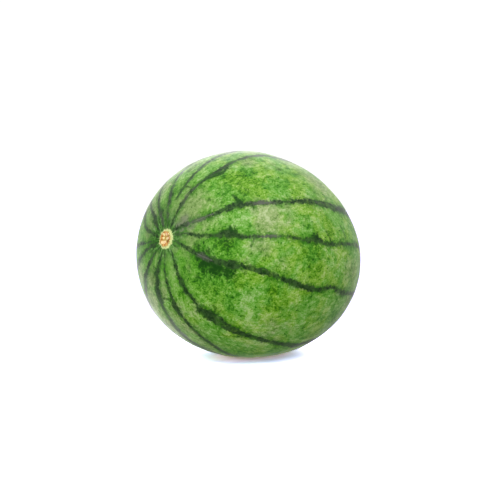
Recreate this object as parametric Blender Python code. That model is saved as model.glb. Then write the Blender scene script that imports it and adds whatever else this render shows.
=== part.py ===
"""A whole watermelon lying on its side, with the stem end raised a little.

Row frame, in metres, +Z up: the origin is on the resting surface, under the middle of the fruit.
The long axis lies in the XZ plane, with the stem end towards -X and the blossom end towards +X.
The fruit grew as one piece, so it is one solid: the stem scar and the blossom scar are part of its rind.
"""

import math

import bmesh
import bpy
from mathutils import Matrix

# The whole fruit.
FRUIT_LENGTH = 0.255      # from pole to pole
FRUIT_DIAMETER = 0.220    # across the middle
BLUNTNESS = 0.92          # 1 gives the ends of an ellipse, less gives blunter ones
TAPER = 0.078             # how much fuller the stem half is than the blossom half
LEAN_DEG = 12.0           # how far the stem end is raised
FLAT_DEPTH = 0.0026       # how much of the underside is flattened where the fruit rests

# The stem scar: a corky ring, standing a little proud, in a shallow hollow.
STEM_HOLLOW_RADIUS = 0.026
STEM_HOLLOW_DEPTH = 0.0016
SCAR_RADIUS = 0.0068
SCAR_RIM_WIDTH = 0.0022
SCAR_RIM_HEIGHT = 0.0011
SCAR_CUP_DEPTH = 0.0007

# The blossom scar: a small button in its own shallow hollow.
BLOSSOM_HOLLOW_RADIUS = 0.016
BLOSSOM_HOLLOW_DEPTH = 0.0012
BUTTON_RADIUS = 0.0032
BUTTON_HEIGHT = 0.0011
BUTTON_EDGE = 1.4         # the ring just outside the button, as a share of its radius

# The natural irregularity of the outline: (waves around, share of the radius, phase, twist from end to end).
SWELLS = (
    (2, 0.0050, 0.9, 0.0),
    (3, 0.0035, 2.1, 0.8),
    (5, 0.0016, 4.0, -0.6),
)

# How finely the solid is faceted.
SEGMENTS = 72
BODY_RINGS = 33
RIM_RINGS = 5             # across the stem scar's corky ring
HOLLOW_RINGS = 2          # from a scar out over its hollow
MERGE_DISTANCE = 0.00001  # corners of the turned body closer than this are one
CUT_SNAP = 0.00015        # a corner this near the resting plane is moved onto it
SHARP_DEG = 35.0          # a fold steeper than this is shaded as an edge

RIND_COLOUR = (0.16, 0.34, 0.06, 1.0)
RIND_ROUGHNESS = 0.42


def bump(distance, width):
    """1 at no distance, falling smoothly to 0 at width and beyond."""
    share = min(abs(distance) / width, 1.0)
    return (1.0 - share * share) ** 2


def stem_relief(radius):
    """How far the rind stands out along the axis, this far from the stem pole's axis."""
    hollow = -STEM_HOLLOW_DEPTH * bump(radius, STEM_HOLLOW_RADIUS)
    rim = SCAR_RIM_HEIGHT * bump(radius - SCAR_RADIUS, SCAR_RIM_WIDTH)
    cup = -SCAR_CUP_DEPTH * bump(radius, SCAR_RADIUS)
    return hollow + rim + cup


def blossom_relief(radius):
    """The same at the blossom end."""
    hollow = -BLOSSOM_HOLLOW_DEPTH * bump(radius, BLOSSOM_HOLLOW_RADIUS)
    return hollow + BUTTON_HEIGHT * bump(radius, BUTTON_RADIUS)


def body_radius(polar):
    """The radius of the egg-shaped body at a polar angle measured from the stem end."""
    across = math.sin(polar) ** BLUNTNESS if 0.0 < polar < math.pi else 0.0
    return FRUIT_DIAMETER / 2 * across * (1 + TAPER * math.cos(polar))


def polar_at(radius, from_stem):
    """The polar angle near one pole at which the body has this radius."""
    end = TAPER if from_stem else -TAPER
    across = radius / (FRUIT_DIAMETER / 2) / (1 + end)
    polar = math.asin(across ** (1 / BLUNTNESS))
    return polar if from_stem else math.pi - polar


def even_steps(first, last, count):
    """count values between first and last, evenly apart, without the two ends."""
    step = (last - first) / (count + 1)
    return [first + step * i for i in range(1, count + 1)]


def stem_ring_radii():
    """The radii of the rings at the stem end: in the cup, across the corky ring and out over the hollow."""
    inside = SCAR_RADIUS - SCAR_RIM_WIDTH
    outside = SCAR_RADIUS + SCAR_RIM_WIDTH
    across_rim = [inside, *even_steps(inside, outside, RIM_RINGS - 2), outside]
    return [inside / 2, *across_rim, *even_steps(outside, STEM_HOLLOW_RADIUS, HOLLOW_RINGS)]


def blossom_ring_radii():
    """The same at the blossom end: on the button, at its edge and out over the hollow."""
    edge = BUTTON_RADIUS * BUTTON_EDGE
    return [BUTTON_RADIUS / 2, BUTTON_RADIUS, edge, *even_steps(edge, BLOSSOM_HOLLOW_RADIUS, HOLLOW_RINGS)]


def ring_polars():
    """The polar angles of the rings: close together around the two scars, even over the body."""
    near_stem = [polar_at(radius, True) for radius in stem_ring_radii()]
    near_blossom = [polar_at(radius, False) for radius in reversed(blossom_ring_radii())]
    body = even_steps(near_stem[-1], near_blossom[0], BODY_RINGS)
    return [0.0, *near_stem, *body, *near_blossom, math.pi]


def profile_point(polar):
    """(place along the axis, radius) of the outline at a polar angle, with both ends' reliefs."""
    radius = body_radius(polar)
    along = -FRUIT_LENGTH / 2 * math.cos(polar)
    if polar < math.pi / 2:
        return along - stem_relief(radius), radius
    return along + blossom_relief(radius), radius


def turned_body():
    """The outline spun around the X axis, closed at both poles."""
    bm = bmesh.new()
    points = [bm.verts.new((along, 0.0, radius)) for along, radius in map(profile_point, ring_polars())]
    edges = [bm.edges.new(pair) for pair in zip(points, points[1:])]
    bmesh.ops.spin(
        bm,
        geom=points + edges,
        cent=(0, 0, 0),
        axis=(1, 0, 0),
        angle=2 * math.pi,
        steps=SEGMENTS,
        use_merge=True,
    )
    bmesh.ops.remove_doubles(bm, verts=bm.verts, dist=MERGE_DISTANCE)
    bmesh.ops.recalc_face_normals(bm, faces=bm.faces)
    return bm


def swell(around, along):
    """The share by which the rind stands in or out, at an angle around and a place from -1 to 1 along."""
    return sum(
        share * math.cos(waves * around + phase + twist * along)
        for waves, share, phase, twist in SWELLS
    )


def grow_unevenly(bm):
    """Moves each point in or out as a real rind does. The poles, where the scars are, stay round."""
    for point in bm.verts:
        x, y, z = point.co
        along = x / (FRUIT_LENGTH / 2)
        fade = min(math.hypot(y, z) / (FRUIT_DIAMETER / 2), 1.0) ** 2
        scale = 1 + fade * swell(math.atan2(z, y), along)
        point.co = (x, y * scale, z * scale)


def lay_down(bm):
    """Leans the fruit, flattens the spot that it rests on, and sets that flat over the origin."""
    bmesh.ops.transform(bm, matrix=Matrix.Rotation(math.radians(LEAN_DEG), 4, "Y"), verts=bm.verts)
    floor = min(point.co.z for point in bm.verts) + FLAT_DEPTH
    cut = bmesh.ops.bisect_plane(
        bm,
        geom=[*bm.verts, *bm.edges, *bm.faces],
        dist=CUT_SNAP,
        plane_co=(0, 0, floor),
        plane_no=(0, 0, 1),
        use_snap_center=True,
        clear_inner=True,
    )
    rim = [item for item in cut["geom_cut"] if isinstance(item, bmesh.types.BMEdge)]
    bmesh.ops.edgeloop_fill(bm, edges=rim)
    bmesh.ops.recalc_face_normals(bm, faces=bm.faces)
    xs = [point.co.x for point in bm.verts]
    ys = [point.co.y for point in bm.verts]
    middle = ((min(xs) + max(xs)) / 2, (min(ys) + max(ys)) / 2)
    bmesh.ops.translate(bm, vec=(-middle[0], -middle[1], -floor), verts=bm.verts)


def rind_material():
    """Waxy green rind."""
    material = bpy.data.materials.new("rind")
    material.use_nodes = True
    shader = material.node_tree.nodes["Principled BSDF"]
    shader.inputs["Base Color"].default_value = RIND_COLOUR
    shader.inputs["Roughness"].default_value = RIND_ROUGHNESS
    shader.inputs["Metallic"].default_value = 0.0
    return material


def make_watermelon():
    """The whole fruit as one closed solid."""
    bm = turned_body()
    grow_unevenly(bm)
    lay_down(bm)
    mesh = bpy.data.meshes.new("watermelon")
    bm.to_mesh(mesh)
    bm.free()
    mesh.materials.append(rind_material())
    mesh.shade_smooth()
    mesh.set_sharp_from_angle(angle=math.radians(SHARP_DEG))
    fruit = bpy.data.objects.new("watermelon", mesh)
    bpy.context.scene.collection.objects.link(fruit)
    return fruit


def main():
    for old in list(bpy.data.objects):
        bpy.data.objects.remove(old)
    make_watermelon()


main()
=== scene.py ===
"""The looks of a whole striped watermelon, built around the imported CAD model.

The fruit is one closed skin, laid out in rings around its own axis from the stem pole to the blossom pole.
Every mark on the rind is placed by two angles: the polar angle, counted from the stem pole, and the angle
around the axis, counted from the fruit's +Y side towards its top. Lengths are in metres unless a name or a
comment says mm.
"""

import math
from functools import reduce

import bpy
import numpy as np
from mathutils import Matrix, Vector


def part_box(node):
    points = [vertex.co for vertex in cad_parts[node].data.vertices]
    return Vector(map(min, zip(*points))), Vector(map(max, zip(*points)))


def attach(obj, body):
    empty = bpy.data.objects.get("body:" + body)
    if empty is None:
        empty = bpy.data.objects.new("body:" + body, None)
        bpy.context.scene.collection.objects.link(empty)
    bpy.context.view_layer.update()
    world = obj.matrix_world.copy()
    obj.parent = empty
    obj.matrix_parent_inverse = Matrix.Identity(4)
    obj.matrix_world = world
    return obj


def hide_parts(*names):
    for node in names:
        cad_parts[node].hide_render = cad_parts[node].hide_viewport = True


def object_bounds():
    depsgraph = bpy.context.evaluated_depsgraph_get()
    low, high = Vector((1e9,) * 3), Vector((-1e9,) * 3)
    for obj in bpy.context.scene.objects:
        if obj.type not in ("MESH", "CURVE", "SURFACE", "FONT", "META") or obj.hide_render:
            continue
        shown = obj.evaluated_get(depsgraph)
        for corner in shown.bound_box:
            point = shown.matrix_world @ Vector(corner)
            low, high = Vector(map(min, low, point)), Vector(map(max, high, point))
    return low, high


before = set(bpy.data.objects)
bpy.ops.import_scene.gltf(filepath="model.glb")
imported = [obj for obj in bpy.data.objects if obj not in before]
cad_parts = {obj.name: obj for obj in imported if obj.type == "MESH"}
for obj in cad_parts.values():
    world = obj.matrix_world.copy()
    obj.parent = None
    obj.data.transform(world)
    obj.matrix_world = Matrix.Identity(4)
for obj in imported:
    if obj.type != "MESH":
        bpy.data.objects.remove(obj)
cad_low, cad_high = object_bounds()

# -------- the fruit's shape, as the CAD has it

FRUIT_LENGTH = 0.255
FRUIT_DIAMETER = 0.220
BLUNTNESS = 0.92
TAPER = 0.078
LEAN_DEG = 12.0
FLAT_DEPTH = 0.0026
FLAT_SHOULDER = 0.0011  # how softly the rind rolls onto the flat that it rests on

# The outline's natural irregularity: (waves around, share of the radius, phase, twist from end to end).
SWELLS = ((2, 0.0050, 0.9, 0.0), (3, 0.0035, 2.1, 0.8), (5, 0.0016, 4.0, -0.6))

STEM_HOLLOW_RADIUS = 0.026
STEM_HOLLOW_DEPTH = 0.0016
SCAR_RADIUS = 0.0068
SCAR_RIM_WIDTH = 0.0022
SCAR_RIM_HEIGHT = 0.0011
SCAR_CUP_DEPTH = 0.0007
RIM_UNEVENNESS = (0.30, 0.16)  # broad and fine, as shares of the corky ring's height
RIM_SHARES = (0.45, 1.25)  # the least and the most of its height that it keeps
RIM_WANDER = 0.00045  # how far the ring strays from a circle
STEM_CREASES = (0.00022, 0.0105, 0.0045)  # depth, distance from the axis, and width of the creased band

# The pale ends of the stem's vessels inside the corky ring: (mm towards +Y, mm up, reach in mm, how pink).
VESSEL_ENDS = (
    (3.3, -3.9, 2.9, 0.35), (0.9, -3.3, 2.6, 0.60), (3.5, 0.8, 2.1, 0.0), (3.2, 4.2, 2.2, 0.15),
    (-0.3, 4.8, 2.3, 1.0), (-1.5, 0.5, 2.3, 0.20), (-3.9, 1.3, 1.9, 1.0), (-3.9, 5.0, 1.8, 0.0),
)
SCAR_PIT = (-3.4, -2.2, 2.4)  # the brown hollow in the ring, in the first three numbers
VESSEL_RISE = 0.0007
VESSEL_RAGGEDNESS = 0.10

BLOSSOM_HOLLOW_RADIUS = 0.016
BLOSSOM_HOLLOW_DEPTH = 0.0012
BUTTON_RADIUS = 0.0032
BUTTON_HEIGHT = 0.0011
BUTTON_RAGGEDNESS = 0.12
BUTTON_UNEVENNESS = 0.25
BLOSSOM_CREASES = (0.00016, 0.006, 0.0045)  # as at the stem end

DENTS = ((0.00022, 0.055, 51), (0.00012, 0.019, 52))  # shallow dents all over: (depth, length, seed)

# The mesh: rings close together over the scars, wider apart over the body.
AROUND_STEPS = 360
SCAR_STEP = 0.00036
BODY_STEP = 0.0021
SCAR_REACH = 0.012
STEP_EASE = 0.030
ARC_TABLE_SIZE = 4001
SEAM_DEG = -90.0  # the texture's left and right edges meet here, away from the camera
SCAR_TEXTURE_GAIN = 3.0  # how much more room the stem scar gets in the texture
SCAR_TEXTURE_REACH = (0.010, 0.030)

# -------- the stripes

# One entry for each stripe: (polar degrees, degrees around, half its width in mm) at each place along its
# first stretch. From there to the blossom end it follows grown_on().
STRIPES = (
    ((6, 12, 0.3), (9, 12, 0.8), (13, 13, 1.8), (18, 15, 1.8), (24, 21, 1.8), (30, 24, 2)),
    ((5, 33, 0.7), (7, 35, 1.3), (12, 40, 2.5), (16, 40, 2.1), (22, 38, 2.1), (28, 36, 2.1), (34, 34, 2.2)),
    ((5, 66, 0.9), (8, 63, 1.9), (11, 61, 2.4), (14, 57, 2.2), (19, 53, 1.7), (26, 53, 1.9), (34, 51, 2.2)),
    ((5, 88, 0.4), (9, 84, 0.9), (13, 79, 1.9), (19, 76, 2.5), (24, 74, 2.3), (30, 73, 1.5), (42, 73, 1.6),
     (52, 76, 2)),
    ((19, 91, 0.8), (24, 92.5, 1.5), (31, 93, 2), (40, 93, 1.7), (50, 92, 2.2), (60, 92, 2.3)),
    ((5, 112, 0.5), (10, 109, 1), (16, 107, 1.9), (24, 107, 2.3), (31, 108, 1.7), (37, 109, 2),
     (43, 110, 2.4), (50, 108.5, 1.8), (62, 107.5, 2.4), (72, 107, 2.6), (82, 109, 3)),
    ((5, 136, 0.6), (9, 144, 2), (14, 148.5, 2.9), (20, 149.6, 2.1), (28, 149.4, 2.3), (36, 148.2, 2.8),
     (41, 147.4, 3.3), (47, 148.7, 2.5), (54, 149, 2.2), (62, 149.2, 2.2), (70, 148.5, 2.6),
     (79, 147.5, 3.3), (88, 146.8, 4), (98, 146.5, 4.3), (108, 144, 4.4), (116, 141, 4.2)),
    ((5, 158, 0.5), (10, 163, 0.9), (14, 168, 1.5), (20, 171.8, 1.8), (27, 171.6, 2.1), (34, 169.6, 3.3),
     (40, 171.8, 2.2), (48, 171.3, 1.6), (56, 170.2, 1.3), (60, 169.8, 0.8), (64, 169.6, 1.4),
     (72, 170.5, 2.3), (79, 168.8, 3.4), (85, 169.8, 1.8), (91, 169.5, 2.4), (98, 167.8, 2.1),
     (108, 165.5, 1.5), (120, 163, 1.7)),
    ((5, 186, 0.7), (8, 188, 1.1), (12, 192, 1.9), (17, 194.7, 2.2), (22, 195.3, 2.7), (28, 195, 3.2),
     (34, 194, 3.4), (42, 192.5, 3), (52, 191.5, 2.8)),
    ((6, 224, 0.4), (10, 230, 0.9), (14, 235, 2), (20, 239, 2.4), (26, 240, 2.8), (30, 238.2, 2.6),
     (35, 239.5, 2.5), (40, 239.3, 3.8), (46, 236.6, 5.4), (54, 235.8, 4.6)),
    ((6, 262, 0.4), (13, 264, 0.9), (20, 263, 1.6), (27, 262.2, 2.4), (33, 263, 3.3), (37, 261.2, 2.2),
     (41, 259.8, 2.1), (50, 258.6, 2.2), (60, 258, 2.6), (70, 259, 3)),
    ((5, 278, 0.6), (9, 281, 1.4), (14, 282.6, 2.9), (20, 283.6, 3.1), (26, 282.4, 3.7), (30, 281, 4),
     (34, 280, 3), (38, 278, 2.6), (44, 276.5, 3.4), (52, 274.5, 3.8), (62, 272, 3.6)),
    ((5, 309, 0.5), (9, 311, 1.2), (14, 311, 2.4), (18, 309.4, 2.3), (22, 310.6, 2.8), (27, 308.5, 3),
     (35, 307, 3)),
    ((5, 338, 0.9), (8, 338, 1.6), (14, 337, 2.3), (20, 334.5, 2), (27, 333, 2.1)),
    ((7, 350, 0.3), (14, 350, 0.9), (20, 351.5, 1.8), (28, 352, 1.9)),
)
GROWN_STEP_DEG = 11.0  # a stripe's unlisted stretch turns after each of these
GROWN_DRIFT_DEG = 2.1
GROWN_HOMING = 0.12  # how strongly it turns back to where it started
GROWN_HALF_WIDTH = (2.5, 4.2)  # mm, between these from stripe to stripe
GROWN_UNEVENNESS = (0.65, 1.35)  # and times this from place to place
GROWN_NARROWING = 0.75  # 1 narrows a stripe as fast as the fruit itself
GROWN_TIP = 0.5  # mm
GROWN_SEED = 11
BLOSSOM_END_DEG = 176.0

STATION_STEP_DEG = 0.5  # the grid on which a stripe's places are joined up
CENTRE_ROUNDING = 5  # in steps of that grid
WIDTH_ROUNDING = 4
START_TAPER = 2.0  # mm that a stripe loses for each degree before its first place
LENGTH_PER_RADIAN = 120.0  # mm of rind for each radian, on average
NO_MARK_MM = 1e3
EDGE_RANGE_MM = (-9, 30)
JAG_SIZE = (0.35, 0.40)  # how ragged a stripe is: this, plus this for each mm of half its width
JAG_RANGE = (0.45, 1.7)

# Thorns, blots and links beside the stripes, in the same three numbers.
SPURS = (
    ((26, 94, 0.8), (26.8, 100, 0.7), (25.5, 106, 0.9)),
    ((39.6, 138, 0.9), (40.3, 141.5, 1.6), (41.4, 145.5, 3)),
    ((35.5, 111, 1.2), (38, 112.6, 1.6), (42, 114.6, 1.7), (44.5, 113.2, 1.6), (48, 110.5, 1)),
    ((31, 109, 0.9), (36, 109.5, 1.2), (52, 108.5, 1)),
    ((34.8, 163.6, 1), (34.8, 166.5, 1.9), (36.5, 170, 2.4), (38.5, 171.6, 2)),
    ((30, 167.5, 1), (33, 167.2, 1.3)), ((46.2, 173, 0.8), (45.2, 178, 0.9)),
    ((47.3, 150, 0.8), (46.8, 155.5, 0.5)), ((80.5, 164.8, 1.1), (80, 167.5, 2)),
    ((86.5, 162.5, 0.5), (88.5, 166, 0.8), (90.5, 169.5, 1.6)),
    ((99, 157, 0.6), (101.5, 160, 0.7), (103, 163, 0.5)), ((22.8, 189.5, 1.1), (24, 194, 1.8)),
    ((24, 197, 1.8), (24.6, 203, 2.2), (23.2, 208.5, 1)),
    ((27.5, 198, 1.8), (31, 199.5, 2.2), (34.5, 198.5, 2)), ((29, 203, 1.2), (32.5, 205.5, 1)),
    ((25.5, 239, 0.9), (26.8, 246, 0.6)), ((37.5, 240, 1), (38.5, 244.5, 0.9)),
    ((13.4, 31, 0.6), (13, 41, 1.6)), ((21, 79, 1.6), (22.5, 79.5, 1.4)),
    ((30.5, 264, 0.8), (29, 267.5, 0.7)), ((30, 281.5, 1.4), (28.2, 273, 1.1), (28.6, 268, 0.9)),
    ((28.6, 266, 0.9), (27.5, 262, 1.2)), ((15.5, 286, 1.2), (16.5, 291.5, 0.8)),
    ((43, 242.5, 1.1), (42.6, 239, 1.6)), ((92, 143, 1), (94.5, 141, 0.7)),
)

# Painted highlights: fine pale lines that run inside the stripes, in the same three numbers.
PAINTED_HIGHLIGHT_LINES = (
    ((19.5, 194.6, 0), (22, 195.4, 0.25), (26, 195.5, 0.3), (29, 195.6, 0)),
    ((14, 148.2, 0), (18, 149.6, 0.15), (24, 149, 0.1), (29, 149, 0)),
    ((50, 148.8, 0), (53, 149.3, 0.3), (57, 149, 0)),
    ((83, 147, 0), (88, 146.2, 0.3), (92, 147, 0)),
    ((52, 170.8, 0), (56, 170, 0.25), (60, 169.8, 0)),
)

# Soft patches: (polar degrees, degrees around, reach in mm, strength).
PATCHES = {
    # dust, and sheen painted as grey on the stripes
    "dust_and_sheen": (
        (15, 146, 9, 0.8), (13, 158, 9, 0.55), (9, 62, 12, 0.75), (20, 105, 12, 0.65), (9, 35, 8, 0.5),
        (53, 149, 16, 0.95), (53, 170, 15, 0.9), (20, 149, 10, 0.9), (28, 107, 9, 0.6), (24, 195, 9, 0.8),
        (62, 108, 16, 0.45), (15, 76, 9, 0.6), (12, 310, 10, 0.5), (40, 286, 14, 0.5), (34, 306, 14, 0.8),
        (30, 334, 14, 0.7), (30, 350, 14, 0.7), (30, 10, 14, 0.6), (34, 24, 12, 0.6), (38, 42, 14, 0.7),
        (36, 54, 12, 0.7), (46, 72, 12, 0.6), (20, 78, 10, 0.5), (46, 172, 9, 0.5), (95, 205, 22, 0.4),
        (120, 60, 26, 0.4), (100, 330, 24, 0.4), (140, 150, 24, 0.35), (150, 270, 22, 0.35),
        (16, 264, 9, 0.5), (70, 110, 14, 0.5),
    ),
    "ash": (
        (9.5, 146, 9, 0.95), (13, 138, 8, 0.75), (15, 152, 8, 0.7), (20, 149, 6, 0.45), (8, 104, 8, 0.45),
        (13, 62, 7, 0.3), (24, 148.6, 5, 0.35), (11, 165, 6, 0.35), (9, 200, 5, 0.25),
    ),
    # pale patches: paler rind in places, and painted light such as sheen along the rim
    "pale_and_painted_light": (
        (19, 124, 21, 0.8), (30, 133, 16, 0.4), (54, 158, 19, 0.95), (24, 160, 14, 0.35), (58, 113, 12, 0.7),
        (50, 178, 14, 0.65), (66, 152, 12, 0.4), (94, 130, 26, 0.75), (70, 120, 16, 0.3), (40, 268, 18, 0.5),
        (34, 296, 16, 1), (48, 284, 14, 0.9), (22, 297, 10, 0.9), (42, 300, 16, 0.9), (56, 280, 16, 0.8),
        (38, 251, 9, 0.5), (26, 274, 8, 0.6), (30, 318, 12, 0.6), (16, 176, 9, 0.4), (36, 244, 9, 0.45),
        (112, 182, 24, 0.5), (80, 60, 30, 0.8), (110, 100, 26, 0.5), (96, 15, 28, 0.5), (140, 40, 24, 0.4),
        (125, 230, 28, 0.5), (90, 300, 26, 0.4), (60, 345, 24, 0.5), (150, 120, 22, 0.4), (135, 320, 24, 0.4),
        (75, 225, 26, 0.4), (52, 62, 26, 0.6), (62, 186, 14, 0.35), (26, 320, 16, 0.4), (62, 88, 20, 0.8),
        (42, 80, 13, 0.6), (30, 56, 14, 0.8), (19, 40, 10, 0.6), (86, 112, 20, 0.6), (48, 262, 16, 0.6),
        (42, 292, 14, 0.6), (28, 274, 8, 0.5), (70, 100, 18, 0.7), (14, 20, 9, 0.5), (30, 30, 12, 0.7),
        (45, 50, 16, 0.8), (58, 70, 16, 0.8), (34, 262, 10, 0.7), (60, 262, 16, 0.6),
    ),
    "deep": (
        (52, 130, 16, 0.65), (40, 120, 13, 0.4), (33, 180, 16, 0.9), (24, 209, 16, 0.9), (33, 216, 14, 0.4),
        (17, 64, 8, 0.6), (24, 81, 7, 0.5), (74, 157, 14, 0.45), (88, 163, 12, 0.5), (68, 128, 12, 0.3),
        (78, 176, 16, 0.45), (62, 184, 16, 0.35), (36, 188, 12, 0.5), (20, 186, 8, 0.6), (15, 30, 8, 0.4),
        (18, 292, 8, 0.35), (64, 200, 24, 0.45), (105, 70, 22, 0.4), (80, 20, 24, 0.4), (120, 350, 26, 0.45),
        (110, 250, 26, 0.4), (145, 190, 24, 0.4), (70, 320, 20, 0.4), (130, 90, 22, 0.4), (10, 20, 9, 0.55),
        (10, 350, 9, 0.55), (27, 226, 9, 0.5),
    ),
    "blot": (  # small, dark, with broken edges
        (21, 200, 5, 0.8), (26, 201, 8, 1.1), (32, 201, 9, 1.15), (38, 199, 9, 1.05), (26, 207, 5, 0.9),
        (35.5, 168.5, 6, 1), (34.5, 172, 6, 0.9), (16, 290, 5, 0.7), (13, 60, 6, 0.7), (12, 40, 6, 0.9),
        (44, 234, 8, 0.9), (25, 283, 6, 0.8), (33, 178, 7, 0.55), (20, 187, 7, 0.6), (25, 189, 6, 0.6),
        (79, 168, 6.5, 0.95), (86, 170, 5.5, 0.75), (42, 146.5, 5, 0.75), (88, 147, 6, 0.6),
        (104, 145, 7, 0.6), (40, 238, 5.5, 0.8), (22, 283.5, 4, 0.6), (28, 283, 4, 0.6), (41, 112, 5.5, 1),
        (46, 111.5, 5, 0.9), (22, 76, 4, 0.7), (27, 148.5, 3, 0.4), (45, 193, 6, 0.6), (33, 261, 4, 0.6),
        (62, 236, 6, 0.7), (60, 54, 6, 0.6), (75, 92, 6, 0.6), (70, 300, 6, 0.7), (90, 340, 7, 0.7),
        (110, 25, 7, 0.7), (120, 200, 7, 0.7), (125, 110, 6, 0.6), (100, 262, 7, 0.7),
    ),
}
GROUND_SPOT_REACH = (0.062, 0.046)  # half the length and width of the pale spot underneath
GROUND_SPOT_EDGE = (0.45, 1.15)  # where it starts and ends to fade, as shares of that
UNDERNEATH = (0.03, 0.07)  # and it needs to be this far below the axis


def ease(value, low, high):
    """0 at low, 1 at high, smooth in between."""
    share = np.clip((value - low) / (high - low), 0.0, 1.0)
    return share * share * (3 - 2 * share)


def bump(distance, width):
    """1 at no distance, falling smoothly to 0 at width and beyond."""
    share = np.clip(np.abs(distance) / width, 0.0, 1.0)
    return (1 - share * share) ** 2


def waves(points, length, seed, count=14):
    """Smooth irregular values between about -1 and 1 that change over the given length."""
    rng = np.random.default_rng(seed)
    directions = rng.normal(size=(count, 3))
    directions /= np.linalg.norm(directions, axis=1, keepdims=True)
    turns = 2 * np.pi / length * rng.uniform(0.6, 1.5, count)
    phases = rng.uniform(0, 2 * np.pi, count)
    return np.cos(points @ (directions * turns[:, None]).T + phases).sum(-1) / math.sqrt(count / 2) / 1.6


def rays(around, lowest, highest, seed):
    """Smooth irregular values around the axis, with between lowest and highest waves to the turn."""
    rng = np.random.default_rng(seed)
    total = np.zeros_like(around)
    for count in range(lowest, highest + 1):
        total += rng.normal() * np.cos(count * around + rng.uniform(0, 2 * np.pi))
    return total / math.sqrt((highest - lowest + 1) / 2) / 1.6


def body_radius(polar):
    """The radius of the egg-shaped body at a polar angle."""
    return FRUIT_DIAMETER / 2 * np.sin(polar) ** BLUNTNESS * (1 + TAPER * np.cos(polar))


def arc_lengths():
    """A fine table of polar angles, and the length of rind from the stem pole to each."""
    polar = np.linspace(0, np.pi, ARC_TABLE_SIZE)
    along = -FRUIT_LENGTH / 2 * np.cos(polar)
    radius = body_radius(polar.clip(1e-9, np.pi - 1e-9))
    steps = np.hypot(np.diff(along), np.diff(radius))
    return polar, np.concatenate([[0.0], np.cumsum(steps)])


def ring_polars():
    """The polar angles of the rings, without the poles: each ring is one local step after the last."""
    polar, length = arc_lengths()
    from_pole = np.minimum(length, length[-1] - length)
    step = SCAR_STEP + (BODY_STEP - SCAR_STEP) * ease(from_pole, SCAR_REACH, SCAR_REACH + STEP_EASE)
    density = np.concatenate([[0.0], np.cumsum(np.diff(length) / step[1:])])
    rings = int(density[-1])
    return np.interp(np.arange(1, rings) * density[-1] / rings, density, polar)


def stem_relief(radius, around):
    """How far the rind stands out near the stem pole: a corky ring around the vessels' ends."""
    broad, fine = RIM_UNEVENNESS
    uneven = 1 + broad * rays(around, 2, 9, 21) + fine * rays(around, 12, 34, 22)
    wander = RIM_WANDER * rays(around, 2, 6, 23)
    hollow = -STEM_HOLLOW_DEPTH * bump(radius, STEM_HOLLOW_RADIUS)
    rim = SCAR_RIM_HEIGHT * uneven.clip(*RIM_SHARES) * bump(radius - SCAR_RADIUS - wander, SCAR_RIM_WIDTH)
    cup = -SCAR_CUP_DEPTH * bump(radius, SCAR_RADIUS)
    depth, place, width = STEM_CREASES
    creases = depth * rays(around, 16, 40, 24) * bump(radius - place, width)
    return hollow + rim + cup + creases + VESSEL_RISE * vessel_shares(radius, around)[0]


def vessel_shares(radius, around):
    """(1 on the pale vessel ends inside the corky ring and 0 between them, how pink they are)."""
    share, pink = np.zeros_like(around), np.zeros_like(around)
    for toward, up, reach, pinkness in VESSEL_ENDS:
        here = spot_share(radius, around, toward, up, reach)
        pink = np.where(here > share, pinkness, pink)
        share = np.maximum(share, here)
    return share, pink


def spot_share(radius, around, toward, up, reach):
    """1 at a spot near the stem pole, falling to 0 at its reach. The spot's three numbers are in mm."""
    across = 1000 * radius * np.cos(around) - toward
    above = 1000 * radius * np.sin(around) - up
    uneven = 1 + VESSEL_RAGGEDNESS * rays(np.arctan2(above, across), 3, 9, 27)
    return bump(np.hypot(across, above) * uneven, reach)


def blossom_relief(radius, around):
    """The same near the blossom pole: a small knob with a ragged edge, in a shallow hollow."""
    hollow = -BLOSSOM_HOLLOW_DEPTH * bump(radius, BLOSSOM_HOLLOW_RADIUS)
    edge = BUTTON_RADIUS * (1 + BUTTON_RAGGEDNESS * rays(around, 3, 11, 41))
    uneven = 1 + BUTTON_UNEVENNESS * rays(around, 4, 12, 42) * ease(radius, 0, BUTTON_RADIUS)
    knob = BUTTON_HEIGHT * bump(radius, edge) * uneven
    depth, place, width = BLOSSOM_CREASES
    creases = depth * rays(around, 10, 26, 43) * bump(radius - place, width)
    return hollow + knob + creases


def swell(around, along):
    """The share by which the rind stands in or out, at an angle around and a place from -1 to 1 along."""
    return sum(
        share * np.cos(count * around + phase + twist * along)
        for count, share, phase, twist in SWELLS
    )


def upright_points(polar, around):
    """Points of the rind in the fruit's own frame: the axis along X, the blossom end at +X."""
    base = body_radius(polar)
    along = -FRUIT_LENGTH / 2 * np.cos(polar)
    relief = np.where(polar < np.pi / 2, -stem_relief(base, around), blossom_relief(base, around))
    fade = np.minimum(base / (FRUIT_DIAMETER / 2), 1.0) ** 2
    radius = base * (1 + fade * swell(around, along / (FRUIT_LENGTH / 2)))
    points = np.stack([along + relief, radius * np.cos(around), radius * np.sin(around)], axis=-1)
    dents = sum(depth * waves(points, length, seed) for depth, length, seed in DENTS)
    return points * (1 + (dents * fade)[..., None] / (FRUIT_DIAMETER / 2))


def lay_down(points):
    """Leans the points, rolls the underside onto its flat, and puts them where the CAD solid is."""
    lean = math.radians(LEAN_DEG)
    x, y, z = np.moveaxis(points, -1, 0)
    x, z = x * math.cos(lean) + z * math.sin(lean), z * math.cos(lean) - x * math.sin(lean)
    z = z - z.min() - FLAT_DEPTH
    blend = np.clip(1 - np.abs(z) / FLAT_SHOULDER, 0.0, 1.0)
    z = np.maximum(z, 0) + FLAT_SHOULDER / 4 * blend**2
    low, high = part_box("watermelon")
    x = x - (x.min() + x.max()) / 2 + (low.x + high.x) / 2
    y = y - (y.min() + y.max()) / 2 + (low.y + high.y) / 2
    return np.stack([x, y, z + low.z], axis=-1)


# -------- where the marks are


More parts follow.
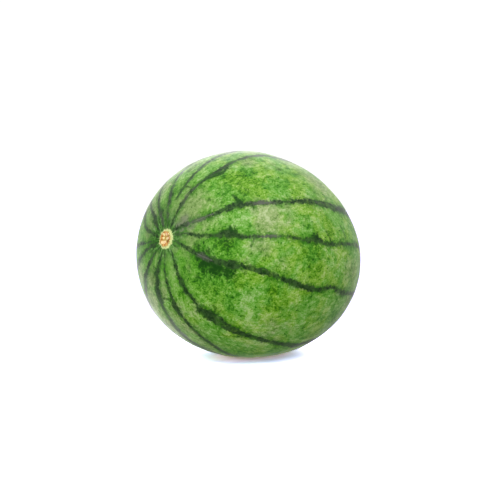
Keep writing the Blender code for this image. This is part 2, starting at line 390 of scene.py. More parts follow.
def grown_on(stations, rng):
    """A stripe's listed places, followed by its unlisted stretch to the blossom end."""
    polar, around = stations[-1][:2]
    home = stations[len(stations) // 2][1]
    width = rng.uniform(*GROWN_HALF_WIDTH)
    grown = list(stations)
    while polar + GROWN_STEP_DEG < BLOSSOM_END_DEG:
        polar += GROWN_STEP_DEG
        around += rng.normal(0, GROWN_DRIFT_DEG) + GROWN_HOMING * (home - around)
        half = width * math.sin(math.radians(polar)) ** GROWN_NARROWING * rng.uniform(*GROWN_UNEVENNESS)
        grown.append((polar, around, half))
    return grown + [(BLOSSOM_END_DEG, around, GROWN_TIP)]


def smoothed(grid, places, values, reach):
    """Values between the places, with the corners rounded over reach steps of the grid."""
    straight = np.interp(grid, places, values)
    kernel = np.hanning(2 * reach + 3)[1:-1]
    padded = np.pad(straight, reach, mode="edge")
    return np.convolve(padded, kernel / kernel.sum(), mode="valid")


def stripe_field(polar, around):
    """(mm to the nearest stripe's edge, less than 0 inside; half that stripe's width; its number)."""
    rng = np.random.default_rng(GROWN_SEED)
    radius = body_radius(polar)
    degrees = np.degrees(polar[:, 0])
    grid = np.arange(0.0, 180.0 + STATION_STEP_DEG, STATION_STEP_DEG)
    edge = np.full(around.shape, NO_MARK_MM)
    width = np.ones(around.shape)
    nearest = np.zeros(around.shape)
    for number, stripe in enumerate(STRIPES):
        places, centres, halves = np.array(grown_on(stripe, rng)).T
        middle = np.interp(degrees, grid, smoothed(grid, places, centres, CENTRE_ROUNDING))
        centre = np.radians(middle)[:, None]
        half = np.interp(degrees, grid, smoothed(grid, places, halves, WIDTH_ROUNDING))[:, None]
        missing = np.maximum(places[0] - degrees, 0) + np.maximum(degrees - places[-1], 0)
        slope = np.gradient(centre, axis=0) * radius * 1000
        run = np.gradient(polar, axis=0) * LENGTH_PER_RADIAN
        apart = np.angle(np.exp(1j * (around - centre)))
        across = np.abs(apart) * radius * 1000 / np.hypot(1, slope / run)
        here = across - half + START_TAPER * missing[:, None]
        width = np.where(here < edge, half, width)
        nearest = np.where(here < edge, number, nearest)
        edge = np.minimum(edge, here)
    return edge, width, nearest


def line_field(polar, around, lines):
    """Distance in mm to the edge of the nearest of some short lines, less than 0 inside."""
    polar_table, length_table = arc_lengths()
    length = np.interp(polar, polar_table, length_table) * 1000
    radius = body_radius(polar) * 1000
    edge = np.full(around.shape, NO_MARK_MM)
    for line in lines:
        for (polar_a, around_a, half_a), (polar_b, around_b, half_b) in zip(line, line[1:]):
            start, end = np.interp(np.radians([polar_a, polar_b]), polar_table, length_table) * 1000
            reach = (end - start, math.radians(around_b - around_a) * radius)
            apart = (length - start, np.angle(np.exp(1j * (around - math.radians(around_a)))) * radius)
            share = (apart[0] * reach[0] + apart[1] * reach[1]) / (reach[0] ** 2 + reach[1] ** 2)
            share = share.clip(0, 1)
            off = np.hypot(apart[0] - share * reach[0], apart[1] - share * reach[1])
            edge = np.minimum(edge, off - half_a - share * (half_b - half_a))
    return edge


def patch_field(points, patches):
    """Soft blots of the given reach and strength, from 0 to 1."""
    total = np.zeros(points.shape[:-1])
    for polar, around, reach, strength in patches:
        centre = upright_points(np.radians([[polar]]), np.radians([[around]]))[0, 0]
        apart = np.linalg.norm(points - centre, axis=-1) * 1000
        total = np.maximum(total, strength * np.exp(-((apart / reach) ** 2)))
    return total


def mark_fields(polar, around, points, laid):
    """Every field that the rind's material reads, as name to values on the grid."""
    polar_table, length_table = arc_lengths()
    base = body_radius(polar)
    at_stem = polar < np.pi / 2
    edge, width, nearest = stripe_field(polar, around)
    ground = np.hypot(laid[..., 0] / GROUND_SPOT_REACH[0], laid[..., 1] / GROUND_SPOT_REACH[1])
    underneath = ease(-points[..., 2], *UNDERNEATH)
    jag = JAG_SIZE[0] + JAG_SIZE[1] * width
    vessels, pink = vessel_shares(base, around)
    return {
        "stripe_edge": edge.clip(*EDGE_RANGE_MM),
        "stripe_jag": jag.clip(*JAG_RANGE),
        "stripe_number": nearest,
        "spur_edge": line_field(polar, around, SPURS).clip(*EDGE_RANGE_MM),
        "highlight_line_edge": line_field(polar, around, PAINTED_HIGHLIGHT_LINES).clip(*EDGE_RANGE_MM),
        "stem_mm": np.where(at_stem, base, 0.2) * 1000,
        "stem_side": np.where(at_stem, np.cos(around), 0.0),
        "stem_up": np.where(at_stem, np.sin(around), 0.0),
        "blossom_mm": np.where(at_stem, 0.2, base) * 1000,
        "along_mm": np.interp(polar, polar_table, length_table) * 1000,
        "rays": rays(around + 0.35 * waves(points, 0.024, 61), 6, 26, 62),
        "broad_rays": rays(around + 0.3 * waves(points, 0.06, 63), 5, 15, 64),
        "vessels": np.where(at_stem, vessels, 0.0),
        "vessel_pink": pink,
        "pit": np.where(at_stem, spot_share(base, around, *SCAR_PIT), 0.0),
        **{name: patch_field(points, patches) for name, patches in PATCHES.items()},
        "ground": (1 - ease(ground, *GROUND_SPOT_EDGE)) * underneath,
    }


# -------- the mesh


def bake_rows(polars):
    """How far up the texture each ring lies: by length of rind, with more room for the stem scar."""
    polar_table, length_table = arc_lengths()
    length = np.interp(polars, polar_table, length_table)
    weight_from_stem = 1 + SCAR_TEXTURE_GAIN * (1 - ease(length_table, *SCAR_TEXTURE_REACH))
    rows = np.concatenate([[0.0], np.cumsum(np.diff(length_table) * weight_from_stem[1:])])
    return np.interp(length, length_table, rows / rows[-1])


def added(name, data):
    """A new object in the scene."""
    item = bpy.data.objects.new(name, data)
    bpy.context.scene.collection.objects.link(item)
    return item


def make_rind():
    """The whole skin of the fruit as one closed mesh, with its fields and its map for baking."""
    rings = ring_polars()
    turns = math.radians(SEAM_DEG) + np.arange(AROUND_STEPS) * 2 * np.pi / AROUND_STEPS
    polar, around = np.meshgrid(rings, turns, indexing="ij")
    upright = upright_points(polar, around)
    poles = np.array([upright[0].mean(axis=0), upright[-1].mean(axis=0)])
    laid = lay_down(np.concatenate([upright.reshape(-1, 3), poles]))
    grid = np.arange(polar.size).reshape(polar.shape)
    stem_pole, blossom_pole = polar.size, polar.size + 1
    after = np.roll(grid, -1, axis=1)
    quads = np.stack([grid[:-1], grid[1:], after[1:], after[:-1]], axis=-1).reshape(-1, 4)
    stem_fan = np.stack([np.full(AROUND_STEPS, stem_pole), grid[0], after[0]], axis=-1)
    blossom_fan = np.stack([np.full(AROUND_STEPS, blossom_pole), after[-1], grid[-1]], axis=-1)
    mesh = bpy.data.meshes.new("watermelon_rind")
    mesh.from_pydata(laid.tolist(), [], quads.tolist() + stem_fan.tolist() + blossom_fan.tolist())
    add_bake_map(mesh, rings)
    fields = mark_fields(polar, around, upright, laid[:-2].reshape(upright.shape))
    for name, values in fields.items():
        at_poles = [values[0].mean(), values[-1].mean()]
        layer = mesh.attributes.new(name, "FLOAT", "POINT")
        layer.data.foreach_set("value", np.concatenate([values.ravel(), at_poles]).astype(np.float32))
    mesh.shade_smooth()
    mesh.update()
    return added("watermelon_rind", mesh)


def add_bake_map(mesh, rings):
    """A map that unrolls the rind: around from left to right, from the stem pole up to the blossom pole."""
    rows = bake_rows(rings)
    left = np.arange(AROUND_STEPS) / AROUND_STEPS
    right = left + 1 / AROUND_STEPS
    low, high = (np.repeat(edge, AROUND_STEPS) for edge in (rows[:-1], rows[1:]))
    lefts, rights = (np.tile(side, len(rows) - 1) for side in (left, right))
    quads = np.stack([lefts, low, lefts, high, rights, high, rights, low], axis=-1)
    middle = (left + right) / 2
    first, last = (np.full(AROUND_STEPS, rows[end]) for end in (0, -1))
    stem_fan = np.stack([middle, np.zeros(AROUND_STEPS), left, first, right, first], axis=-1)
    blossom_fan = np.stack([middle, np.ones(AROUND_STEPS), right, last, left, last], axis=-1)
    corners = np.concatenate([quads.ravel(), stem_fan.ravel(), blossom_fan.ravel()])
    layer = mesh.uv_layers.new(name="OFBake")
    layer.uv.foreach_set("vector", corners.astype(np.float32))


# -------- the rind's material

LONGWAYS = (0.62, 1.0, 1.0)  # blots on the rind run along the fruit
STROKES = (0.40, 0.95, 1.25)  # and so do the short dark strokes

# The light rind's tone, from 0 dark to 1 light: (size of its blots in metres, how much they change it).
MIDDLE_TONE = 0.60
BROAD_TONE = (0.040, 0.60)
BLOT_TONES = ((0.018, 0.78), (0.0072, 0.72), (0.0036, 0.90), (0.0016, 1.20))
STROKE_TONE = -0.90
DEEP_TONE = -0.36
PALE_TONE = 0.02
# Near the stem end, up to these mm of rind from its pole, blots are weaker and the rind duller and dustier.
# Each is (low, high, value at low, value at high).
CALM = (28.0, 66.0, 0.50, 1.0)
DULL = (30.0, 76.0, -0.09, 0.0)
DUSTY = (24.0, 74.0, 0.34, 0.0)
RIPE = (45.0, 120.0, 0.15, 1.0)  # and it hardly yellows there

# The light rind by its tone: where it is fresh, where it yellows and where it is dusty, also with painted
# light.
FRESH_RIND = (
    (0.00, (0.012, 0.088, 0.003)), (0.25, (0.044, 0.21, 0.008)), (0.5, (0.112, 0.345, 0.027)),
    (0.75, (0.205, 0.45, 0.084)), (1.00, (0.355, 0.56, 0.195)),
)
RIPE_RIND = (
    (0.00, (0.026, 0.118, 0.003)), (0.25, (0.085, 0.265, 0.006)), (0.5, (0.19, 0.41, 0.03)),
    (0.75, (0.3, 0.5, 0.09)), (1.00, (0.44, 0.61, 0.2)),
)
PALE_RIND = (
    (0.00, (0.055, 0.12, 0.022)), (0.25, (0.125, 0.235, 0.05)), (0.5, (0.215, 0.345, 0.098)),
    (0.75, (0.325, 0.44, 0.165)), (1.00, (0.46, 0.565, 0.28)),
)
DEEP_GREEN = (0.032, 0.165, 0.006, 1)
BLOT_GREEN = (0.007, 0.055, 0.003, 1)
STRIPE_DARK = (0.008, 0.034, 0.006, 1)
STRIPE_MID = (0.04, 0.095, 0.024, 1)
# the grey of dust and of painted sheen on the stripes
STRIPE_DUST_AND_SHEEN = (0.115, 0.125, 0.095, 1)
# the grey of the fine lines of painted highlight inside the stripes
HIGHLIGHT_GREY = (0.17, 0.17, 0.15, 1)
ASH = (0.205, 0.2, 0.16, 1)
ASH_DARK = (0.055, 0.062, 0.048, 1)
STEM_STREAKS = (
    (0.26, (0.008, 0.026, 0.006)), (0.39, (0.016, 0.07, 0.008)), (0.5, (0.05, 0.18, 0.02)),
    (0.62, (0.12, 0.285, 0.06)), (0.78, (0.26, 0.39, 0.185)),
)
STEM_GREEN = (0.03, 0.12, 0.012, 1)
STEM_PALE = (0.15, 0.3, 0.07, 1)
MARGIN = (0.58, 0.72, 0.23, 1)
MARGIN_PALE = (0.82, 0.86, 0.45, 1)
CORK = (0.69, 0.3, 0.07, 1)
CORK_DARK = (0.42, 0.15, 0.025, 1)
CORK_TAN = (0.8, 0.54, 0.19, 1)
PIT_BROWN = (0.24, 0.075, 0.008, 1)
VESSEL_CREAM = (0.95, 0.82, 0.38, 1)
VESSEL_PINK = (0.95, 0.64, 0.4, 1)
PITH = (0.52, 0.38, 0.1, 1)
GROUND_CREAM = (0.6, 0.54, 0.21, 1)
BUTTON_BROWN = (0.16, 0.1, 0.04, 1)

# The stripes' edges.
BARB_SLANT = (0.20, -0.10)  # how fast the barbs change along a stripe and away from it, per mm
BARB_FADE = 0.12
BARB_APART = 7.3  # keeps one stripe's barbs from repeating the next one's
BARB_LENGTHS = (0.5, 4.5)
COARSE_EDGE = (0.0070, 4.8)  # size in metres, and how far it moves the edge, in mm
FINE_EDGE = (0.0026, 5.0)
STRIPE_EDGE_MM = (-1.1, 1.3)  # a stripe fades out between these
STRIPE_WORN = 0.66  # how much of a stripe is left where it is worn
HALO_MM = 6.0  # the darker green beside the stripes
HALO_SHARE = 0.85

# In mm of rind from the stem pole: where the stem end's marks stop and the blossom end's begin.
STEM_HALF_MM = (60.0, 70.0)
BLOSSOM_HALF_MM = (200.0, 230.0)
DULL_CORK_MM = (8.5, 10.0)
FRAY_SIZE = 0.0045  # in metres
FRAY_MM = 3.0

# The finish: roughness where the wax is thick and thin, what is added to it, and heights of fine relief.
WAX_ROUGHNESS = (0.36, 0.50)
STRIPE_ROUGHNESS = -0.04
DUST_ROUGHNESS = 0.12
CORK_ROUGHNESS = 0.35
PORE_HEIGHT = 0.00006
LUMP_HEIGHT = 0.00022
FIBRE_HEIGHT = 0.00045
STRIPE_HEIGHT = 0.00006
GLOSS = (("Specular IOR Level", 0.12), ("Sheen Weight", 0.30), ("Sheen Roughness", 0.30))


class Nodes:
    """Short calls that add one node each to a material or a world and return its output."""

    def __init__(self, owner, shader="Principled BSDF"):
        owner.use_nodes = True
        self.tree = owner.node_tree
        self.shader = self.tree.nodes[shader]

    def put(self, socket, value):
        """Sets a socket to a constant or links it to another node's output."""
        if isinstance(value, bpy.types.NodeSocket):
            self.tree.links.new(value, socket)
        else:
            socket.default_value = value

    def new(self, kind, **values):
        """A new node, with values put into the sockets that they are named after."""
        node = self.tree.nodes.new("ShaderNode" + kind)
        for name, value in values.items():
            self.put(node.inputs[name.replace("_", " ")], value)
        return node

    def place(self):
        """Where a point is, in the row frame."""
        return self.new("TexCoord").outputs["Object"]

    def field(self, name, gain=None):
        """One of the rind's fields, times gain if that is given."""
        node = self.new("Attribute")
        node.attribute_name = name
        return node.outputs["Fac"] if gain is None else self.times(node.outputs["Fac"], gain)

    def worked_out(self, kind, operation, first, second):
        """A node of the kind Math or VectorMath."""
        node = self.new(kind)
        node.operation = operation
        self.put(node.inputs[0], first)
        self.put(node.inputs[1], second)
        return node

    def math(self, operation, first, second):
        return self.worked_out("Math", operation, first, second).outputs[0]

    def vectors(self, operation, first, second=(0, 0, 0)):
        """A node that works on places or directions."""
        return self.worked_out("VectorMath", operation, first, second)

    def noise(self, vector, size, detail=3.0, roughness=0.55, output="Fac"):
        """Noise between 0 and 1 with blots of about the given size."""
        node = self.new("TexNoise", Vector=vector, Scale=1.0 / size, Detail=detail, Roughness=roughness)
        return node.outputs[output]

    def uneven(self, gain, *noise):
        """Noise as above, counted from its middle, times gain."""
        return self.around_half(self.noise(*noise), gain)

    def bent(self, vector, size, amount):
        """The same places, pushed about by noise, so that marks look grown."""
        ways = self.vectors("SUBTRACT", self.noise(vector, size, 2.0, 0.5, "Color"), (0.5, 0.5, 0.5))
        pushes = self.vectors("MULTIPLY", ways.outputs[0], (2 * amount, 2 * amount, 2 * amount))
        return self.vectors("ADD", vector, pushes.outputs[0]).outputs[0]

    def joined(self, x, y, z):
        """A place from three numbers."""
        node = self.new("CombineXYZ")
        for socket, value in zip(node.inputs, (x, y, z)):
            self.put(socket, value)
        return node.outputs[0]

    def stretched(self, vector, scale):
        """The same places with each axis multiplied, which makes blots long."""
        return self.vectors("MULTIPLY", vector, scale).outputs[0]

    def shades(self, value, stops):
        """A colour from a list of (value, colour) stops."""
        node = self.new("ValToRGB")
        elements = node.color_ramp.elements
        for number, (position, colour) in enumerate(stops):
            stop = elements[number] if number < 2 else elements.new(position)
            stop.position = position
            stop.color = (*colour, 1)
        self.put(node.inputs["Fac"], value)
        return node.outputs["Color"]

    def facing(self, way, toward):
        """How far a way points towards a direction: 1 straight at it, -1 straight away."""
        return self.vectors("DOT_PRODUCT", way, toward).outputs["Value"]

    def around_half(self, value, gain):
        """A value between 0 and 1, counted from its middle, times gain."""
        return self.math("MULTIPLY", self.math("SUBTRACT", value, 0.5), gain)

    def ramp(self, value, low, high, start=0.0, end=1.0):
        """start where value is low, end where it is high, smooth in between."""
        node = self.new("MapRange", Value=value, From_Min=low, From_Max=high, To_Min=start, To_Max=end)
        node.interpolation_type = "SMOOTHSTEP"
        return node.outputs["Result"]

    def mix(self, share, first, second):
        """The first colour where share is 0, the second where it is 1."""
        node = self.new("Mix")
        node.data_type = "RGBA"
        self.put(node.inputs["Factor"], share)
        self.put(node.inputs[6], first)
        self.put(node.inputs[7], second)
        return node.outputs[2]

    def times(self, *values):
        return reduce(lambda product, value: self.math("MULTIPLY", product, value), values)

    def plus(self, *values):
        return reduce(lambda total, value: self.math("ADD", total, value), values)


def light_rind(nodes, place):
    """The light green between the stripes: broad patches, blots, grain, short dark strokes and pale patches,
    partly painted light.
    """
    length = nodes.field("along_mm")
    bent = nodes.bent(place, 0.012, 0.003)
    long = nodes.stretched(bent, LONGWAYS)
    blots = nodes.plus(*(
        nodes.uneven(gain, where, size, 2.0)
        for where, (size, gain) in zip((bent, long, long, place), BLOT_TONES)
    ))
    size, gain = BROAD_TONE
    tone = nodes.plus(
        MIDDLE_TONE,
        nodes.uneven(gain, place, size, 2.0),
        nodes.times(blots, nodes.ramp(length, *CALM)),
        nodes.field("deep", DEEP_TONE),
        # the pale patches, partly painted light, lighten the tone
        nodes.field("pale_and_painted_light", PALE_TONE),
        nodes.ramp(length, *DULL),
    )
    strokes = nodes.noise(nodes.stretched(nodes.bent(place, 0.006, 0.0025), STROKES), 0.0021, 2.0)
    some = nodes.ramp(nodes.noise(place, 0.013, 2.0), 0.40, 0.62)
    tone = nodes.plus(tone, nodes.times(nodes.ramp(strokes, 0.62, 0.72), some, STROKE_TONE))
    ripe = nodes.plus(nodes.noise(place, 0.026, 2.0), nodes.uneven(0.5, bent, 0.0085, 2.0))
    ripe = nodes.times(nodes.ramp(ripe, 0.38, 0.64), nodes.ramp(length, *RIPE))
    colour = nodes.mix(ripe, nodes.shades(tone, FRESH_RIND), nodes.shades(tone, RIPE_RIND))
    # dusty rind, with painted light laid on as pale patches
    dusty_and_painted_light = nodes.plus(
        nodes.field("pale_and_painted_light"),
        nodes.uneven(1.7, bent, 0.012, 4.0, 0.65),
        nodes.ramp(length, *DUSTY),
    )
    return nodes.mix(nodes.ramp(dusty_and_painted_light, 0.05, 0.85), colour, nodes.shades(tone, PALE_RIND))


def stripe_share(nodes, place):
    """(1 on the stripes, mm to their ragged edge). Their edges have slanting barbs and fine feathers."""
    edge, jag = nodes.field("stripe_edge"), nodes.field("stripe_jag")
    along, out = BARB_SLANT
    slant = nodes.plus(nodes.field("along_mm", along), nodes.times(edge, out))
    apart = nodes.field("stripe_number", BARB_APART)
    barbs = nodes.noise(nodes.joined(slant, nodes.times(edge, BARB_FADE), apart), 1.0, 3.0, 0.6)
    barbed = nodes.ramp(nodes.noise(place, 0.016, 2.0), 0.38, 0.66, *BARB_LENGTHS)
    coarse = nodes.noise(nodes.bent(place, 0.006, 0.002), COARSE_EDGE[0], 2.0)
    ragged = nodes.plus(
        edge,
        nodes.times(jag, barbed, nodes.math("SUBTRACT", barbs, 0.5)),
        nodes.times(jag, nodes.around_half(coarse, COARSE_EDGE[1])),
        nodes.uneven(FINE_EDGE[1], place, FINE_EDGE[0], 2.0),
    )
    worn = nodes.plus(nodes.noise(place, 0.0085, 3.0, 0.6), nodes.around_half(barbs, 0.4))
    worn = nodes.ramp(worn, 0.34, 0.54, STRIPE_WORN, 1.0)
    return nodes.times(nodes.ramp(ragged, *STRIPE_EDGE_MM, 1.0, 0.0), worn), ragged


def rind_colour(nodes, place):
    """(The colour all over the rind, 1 on the stripes)."""
    colour = with_stem_zone(nodes, place, light_rind(nodes, place))
    colour = with_bloom(nodes, place, colour)
    share, edge = stripe_share(nodes, place)
    mottle = nodes.noise(place, 0.0042, 3.0, 0.6)
    fine = nodes.noise(place, 0.0020, 2.0)
    colour = with_dark_marks(nodes, place, colour, edge, mottle, fine)
    colour = nodes.mix(share, colour, stripe_colour(nodes, place, mottle, fine))
    colour = with_ground_spot(nodes, place, colour)
    colour = with_stem_end(nodes, place, colour)
    return with_blossom_end(nodes, place, colour), share


def with_dark_marks(nodes, place, colour, edge, mottle, fine):
    """The darker green beside the stripes, the blots and the spurs."""
    patchy = nodes.ramp(nodes.noise(place, 0.014, 2.0), 0.34, 0.58)
    beside = nodes.ramp(edge, 0.0, HALO_MM, HALO_SHARE, 0.0)
    halo = nodes.times(beside, nodes.ramp(mottle, 0.32, 0.56), patchy)
    colour = nodes.mix(halo, colour, DEEP_GREEN)
    broken = nodes.plus(nodes.around_half(mottle, 1.6), nodes.around_half(fine, 1.6))
    blot = nodes.ramp(nodes.plus(nodes.field("blot"), broken), 0.20, 1.00, 0.0, 0.95)
    colour = nodes.mix(blot, colour, BLOT_GREEN)
    spur = nodes.plus(nodes.field("spur_edge"), nodes.uneven(2.4, place, 0.0030))
    return nodes.mix(nodes.ramp(spur, -1.2, 1.4, 0.90, 0.0), colour, BLOT_GREEN)


def stripe_colour(nodes, place, mottle, fine):
    """The stripes' colour: mottled dark green, dusty and with painted sheen here and there, and a few fine
    pale lines of painted highlight.
    """
    mottled = nodes.ramp(nodes.plus(mottle, nodes.around_half(fine, 0.7)), 0.34, 0.66)
    # where dust lies, and where sheen is painted on the stripes as grey
    dust_and_sheen_share = nodes.plus(
        nodes.field("dust_and_sheen"),
        nodes.uneven(1.2, place, 0.0060),
        nodes.around_half(fine, 0.8),
    )
    dark = nodes.mix(mottled, STRIPE_DARK, STRIPE_MID)
    dark = nodes.mix(nodes.ramp(dust_and_sheen_share, 0.25, 1.25), dark, STRIPE_DUST_AND_SHEEN)
    # fine lines of painted highlight inside the stripes
    line = nodes.plus(nodes.field("highlight_line_edge"), nodes.around_half(fine, 2.4))
    return nodes.mix(nodes.ramp(line, -0.4, 0.9, 0.70, 0.0), dark, HIGHLIGHT_GREY)


def with_ground_spot(nodes, place, colour):
    """The creamy spot where the fruit lay while it grew."""
    ragged = nodes.plus(nodes.field("ground"), nodes.uneven(0.8, place, 0.009, 4.0))
    return nodes.mix(nodes.ramp(ragged, 0.30, 0.85, 0.0, 0.72), colour, GROUND_CREAM)


def near_stem(nodes):
    """1 on the stem half of the fruit, 0 on the blossom half."""
    return nodes.ramp(nodes.field("along_mm"), *STEM_HALF_MM, 1.0, 0.0)


def frayed(nodes, place, radius, size=FRAY_SIZE):
    """A distance from the axis, made uneven, so that circles drawn by it look grown."""
    return nodes.plus(radius, nodes.uneven(FRAY_MM, place, size))


def with_rings(nodes, colour, near, rings):
    """The colour with rings round a pole painted over it: (mm from it, fade in mm, strength, paint)."""
    for distance, reach, strength, paint in rings:
        share = nodes.times(near, nodes.ramp(distance, *reach, strength, 0.0))
        colour = nodes.mix(share, colour, paint)
    return colour


def with_stem_zone(nodes, place, colour):
    """The dusky zone round the stem scar, streaked away from it and darkest on the +Y side."""
    side, up = nodes.field("stem_side"), nodes.field("stem_up")
    radius = frayed(nodes, place, nodes.field("stem_mm"))
    broad = nodes.joined(nodes.times(side, 6.0), nodes.times(up, 6.0), nodes.times(radius, 0.10))
    narrow = nodes.joined(nodes.times(side, 15.0), nodes.times(up, 15.0), nodes.times(radius, 0.16))
    streaks = nodes.plus(
        0.5,
        nodes.uneven(1.0, broad, 1.0, 2.0, 0.6),
        nodes.uneven(0.6, narrow, 1.0, 2.0, 0.6),
        nodes.uneven(0.6, place, 0.0022),
        nodes.times(side, -0.05),
    )
    uneven = nodes.field("broad_rays", 5.0)
    zone = nodes.plus(radius, uneven, nodes.times(side, -4.0), nodes.times(up, -3.0))
    dusky = nodes.shades(streaks, STEM_STREAKS)
    return with_rings(nodes, colour, near_stem(nodes), ((zone, (12.0, 36.0), 0.95, dusky),))


def with_bloom(nodes, place, colour):
    """The ashen bloom beside the stem scar, darker towards it. The stripes run over it."""
    bloom = nodes.plus(nodes.field("ash"), nodes.uneven(0.7, place, 0.0060))
    outwards = nodes.times(nodes.plus(nodes.field("stem_mm"), -18.0), 0.030)
    ashen = nodes.plus(nodes.noise(place, 0.0022), nodes.field("rays", 0.10), outwards)
    ash = nodes.mix(nodes.ramp(ashen, 0.25, 0.75), ASH_DARK, ASH)
    return nodes.mix(nodes.ramp(bloom, 0.10, 1.00, 0.0, 0.85), colour, ash)


def with_stem_end(nodes, place, colour):
    """The short pale rays round the stem scar, and the corky scar itself."""
    radius, near = nodes.field("stem_mm"), near_stem(nodes)
    rayed = nodes.plus(frayed(nodes, place, radius), nodes.field("rays", -1.5))
    colour = with_rings(nodes, colour, near, ((rayed, (9.6, 12.4), 0.50, STEM_PALE),))
    return with_scar(nodes, place, colour, radius, near)


def with_scar(nodes, place, colour, radius, near):
    """The corky scar: a pale margin, wider on one side, an orange ring, and the vessels' ends inside it."""
    side = nodes.field("stem_side")
    fine_rays = nodes.field("rays", -0.35)
    uneven = nodes.plus(fine_rays, nodes.field("broad_rays", 0.35))
    outer = nodes.plus(radius, nodes.times(side, 0.6), uneven)
    inner = nodes.plus(radius, nodes.times(side, -0.5), nodes.times(uneven, 0.8))
    fine = nodes.noise(place, 0.0013, 3.0, 0.6)
    margin = nodes.mix(nodes.ramp(fine, 0.40, 0.62), MARGIN, MARGIN_PALE)
    tan = nodes.mix(nodes.ramp(fine, 0.36, 0.64), CORK_TAN, CORK)
    cork = nodes.mix(nodes.ramp(nodes.noise(place, 0.0022, 3.0, 0.6), 0.43, 0.62), tan, CORK_DARK)
    colour = with_rings(nodes, colour, near, (
        (outer, (9.3, 11.0), 1.0, margin),
        (inner, (7.2, 8.9), 1.0, cork),
        (inner, (3.0, 5.2), 0.75, PITH),
    ))
    vessel = nodes.mix(nodes.field("vessel_pink"), VESSEL_CREAM, VESSEL_PINK)
    colour = nodes.mix(nodes.times(near, nodes.ramp(nodes.field("vessels"), 0.20, 0.55)), colour, vessel)
    pit = nodes.times(near, nodes.ramp(nodes.field("pit"), 0.15, 0.60, 0.0, 0.9))
    return nodes.mix(pit, colour, PIT_BROWN)


def with_blossom_end(nodes, place, colour):
    """The stripes' meeting place at the blossom end, and the small brown knob."""
    near = nodes.ramp(nodes.field("along_mm"), *BLOSSOM_HALF_MM)
    radius = frayed(nodes, place, nodes.field("blossom_mm"), 0.004)
    streaks = nodes.plus(nodes.field("rays"), nodes.uneven(4.5, place, 0.0022))
    dusky = nodes.mix(nodes.ramp(streaks, -1.0, 1.4), STEM_GREEN, STEM_PALE)
    return with_rings(nodes, colour, near, (
        (radius, (6.0, 22.0), 0.8, dusky),
        (radius, (4.2, 6.8), 0.8, MARGIN),
        (radius, (2.6, 4.0), 1.0, BUTTON_BROWN),
    ))


def rind_finish(nodes, place, share):
    """(roughness, height in metres): waxy all over, dull on the cork, with fine pores."""
    cork = nodes.times(nodes.ramp(nodes.field("stem_mm"), *DULL_CORK_MM, 1.0, 0.0), near_stem(nodes))
    rough = nodes.plus(
        nodes.ramp(nodes.noise(place, 0.012, 4.0, 0.6), 0.3, 0.7, *WAX_ROUGHNESS),
        nodes.times(share, STRIPE_ROUGHNESS),
        nodes.field("dust_and_sheen", DUST_ROUGHNESS),
        nodes.times(cork, CORK_ROUGHNESS),
    )
    height = nodes.plus(
        nodes.times(nodes.noise(place, 0.0009, 3.0, 0.6), PORE_HEIGHT),
        nodes.times(nodes.noise(place, 0.0048, 3.0, 0.55), LUMP_HEIGHT),
        nodes.times(nodes.noise(place, 0.0007, 4.0, 0.7), cork, FIBRE_HEIGHT),
        nodes.times(share, STRIPE_HEIGHT),
    )
    return rough, height


def rind_material():
    """Waxy striped rind."""
    material = bpy.data.materials.new("rind")
    nodes = Nodes(material)
    place = nodes.place()
    colour, share = rind_colour(nodes, place)
    rough, height = rind_finish(nodes, place, share)
    nodes.put(nodes.shader.inputs["Base Color"], colour)
    nodes.put(nodes.shader.inputs["Roughness"], rough)
    for name, value in GLOSS:
        nodes.shader.inputs[name].default_value = value
    relief = nodes.new("Bump", Strength=1.0, Distance=1.0, Height=height)
    nodes.put(nodes.shader.inputs["Normal"], relief.outputs["Normal"])
    return material


# -------- floor, light and camera

FLOOR_RADIUS = 3.0
FLOOR_CORNERS = 96
FLOOR_GAP = 0.0002
FLOOR_ROUGHNESS = 0.9
FLOOR_GLARE = (3.8, 3.42, 5.3, 1)  # overexposed, so that only the contact shadow shows
GLARE_REACH = (0.12, 0.24)  # the glare falls to GLARE_FAR of itself between these distances
GLARE_FAR = 0.28
PAINTED_SHADOW_REACH = (0.022, 0.074)  # and a contact shadow is painted into the floor's colour this near the fruit's middle
# the share of the glare left at the painted shadow's darkest
PAINTED_SHADOW_SHARE = 0.38
PAINTED_SHADOW_TINT = (3.9, 3.42, 7.4, 1)  # the glare in the painted shadow, bluer to make up for the fruit's green

# The studio round the fruit is brightest behind it on the left, and darker under it.
WORLD_FRONT = 0.24
WORLD_BACK = 0.65
WORLD_BRIGHTEST = (-160, 12)  # degrees to the right of the camera, and elevation
WORLD_TOP = 0.35
WORLD_BELOW = 0.25  # as a share of the rest
WORLD_SPREAD = (-0.3, 1.0)  # the cosines between which its light from behind and above grows
WORLD_HORIZON = (-0.55, -0.25)  # and those between which it darkens below
WORLD_SEEN = 1.05

# Soft lights: name, degrees to the right of the camera, elevation, softness in degrees, strength.
LIGHTS = (
    ("key", 36, 48, 80, 1.59),
    ("fill", -50, 35, 90, 0.60),
    ("bounce", -22, -35, 70, 1.55),
    ("rim", -175, 27, 40, 0.90),
    ("left", -150, -21, 30, 0.65),
)

CAMERA_AZIMUTH_DEG = -44.8
CAMERA_ELEVATION_DEG = 5.0
CAMERA_DISTANCE = 1.2715
CAMERA_ANGLE_DEG = 24.0
CAMERA_SENSOR_MM = 36
AIM_RIGHT = -0.0019  # where the camera points, from the middle of the fruit
AIM_UP = 0.0029


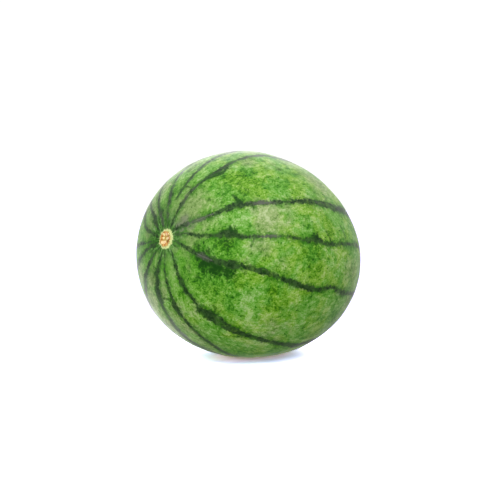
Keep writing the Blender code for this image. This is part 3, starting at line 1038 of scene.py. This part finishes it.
def make_floor():
    """A plain white floor just under the fruit. Its base colour is the glare above, dimmed by distance and by
    a painted contact shadow.
    """
    bpy.ops.mesh.primitive_circle_add(vertices=FLOOR_CORNERS, radius=FLOOR_RADIUS, fill_type="NGON")
    floor = bpy.context.object
    floor.name = "floor"
    floor.location.z = cad_low.z - FLOOR_GAP
    material = bpy.data.materials.new("floor")
    nodes = Nodes(material)
    apart = nodes.vectors("LENGTH", nodes.place()).outputs["Value"]
    # the painted contact shadow near the middle of the fruit, times the glare's fall with distance
    painted_shadow_and_falloff = nodes.times(
        nodes.ramp(apart, *PAINTED_SHADOW_REACH, PAINTED_SHADOW_SHARE, 1.0),
        nodes.ramp(apart, *GLARE_REACH, 1.0, GLARE_FAR),
    )
    # the glare, bluer inside the painted shadow
    glare = nodes.mix(nodes.ramp(apart, *PAINTED_SHADOW_REACH), PAINTED_SHADOW_TINT, FLOOR_GLARE)
    nodes.put(nodes.shader.inputs["Base Color"], nodes.mix(painted_shadow_and_falloff, (0, 0, 0, 1), glare))
    nodes.shader.inputs["Roughness"].default_value = FLOOR_ROUGHNESS
    nodes.shader.inputs["Specular IOR Level"].default_value = 0.0
    floor.data.materials.append(material)
    floor.visible_diffuse = False
    floor.visible_glossy = False
    floor.visible_shadow = False


def make_world():
    """A white studio, brightest behind the fruit and above it. The camera sees it as plain white."""
    world = bpy.data.worlds.new("studio")
    bpy.context.scene.world = world
    nodes = Nodes(world, "Background")
    nodes.put(nodes.shader.inputs["Color"], (1, 1, 1, 1))
    way = nodes.new("TexCoord").outputs["Generated"]
    right_deg, elevation_deg = WORLD_BRIGHTEST
    behind = nodes.facing(way, direction(CAMERA_AZIMUTH_DEG + right_deg, elevation_deg))
    above = nodes.facing(way, (0, 0, 1))
    strength = nodes.plus(
        WORLD_FRONT,
        nodes.ramp(behind, *WORLD_SPREAD, 0.0, WORLD_BACK - WORLD_FRONT),
        nodes.ramp(above, *WORLD_SPREAD, 0.0, WORLD_TOP),
    )
    strength = nodes.times(strength, nodes.ramp(above, *WORLD_HORIZON, WORLD_BELOW, 1.0))
    camera_ray = nodes.new("LightPath").outputs["Is Camera Ray"]
    seen = nodes.new("Mix", Factor=camera_ray, A=strength, B=WORLD_SEEN)
    nodes.put(nodes.shader.inputs["Strength"], seen.outputs["Result"])


def make_lights():
    """The soft lights. The bounce light, which stands for a white table's, leaves no gloss."""
    for name, right_deg, elevation_deg, softness_deg, strength in LIGHTS:
        back = direction(CAMERA_AZIMUTH_DEG + right_deg, elevation_deg)
        light = bpy.data.lights.new(name, "SUN")
        light.angle = math.radians(softness_deg)
        light.energy = strength
        lamp = added(name, light)
        lamp.location = back
        lamp.rotation_euler = back.to_track_quat("Z", "Y").to_euler()
        lamp.visible_glossy = name != "bounce"


def direction(azimuth_deg, elevation_deg):
    """The direction from the fruit towards a place, by its two angles seen from there."""
    azimuth, elevation = math.radians(azimuth_deg), math.radians(elevation_deg)
    return Vector((
        math.sin(azimuth) * math.cos(elevation),
        -math.cos(azimuth) * math.cos(elevation),
        math.sin(elevation),
    ))


def make_camera():
    """The camera, a little to the left of the stem end and a little above it."""
    low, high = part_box("watermelon")
    back = direction(CAMERA_AZIMUTH_DEG, CAMERA_ELEVATION_DEG)
    right = Vector((0, 0, 1)).cross(back).normalized()
    up = back.cross(right)
    camera = bpy.data.cameras.new("camera")
    camera.sensor_width = CAMERA_SENSOR_MM
    camera.angle = math.radians(CAMERA_ANGLE_DEG)
    holder = added("camera", camera)
    holder.location = (low + high) / 2 + back * CAMERA_DISTANCE + right * AIM_RIGHT + up * AIM_UP
    holder.rotation_euler = back.to_track_quat("Z", "Y").to_euler()
    bpy.context.scene.camera = holder


make_camera()
rind = make_rind()
rind.data.materials.append(rind_material())
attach(rind, "root")
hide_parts("watermelon")
make_floor()
make_world()
make_lights()
bpy.context.scene.view_settings.view_transform = "Standard"
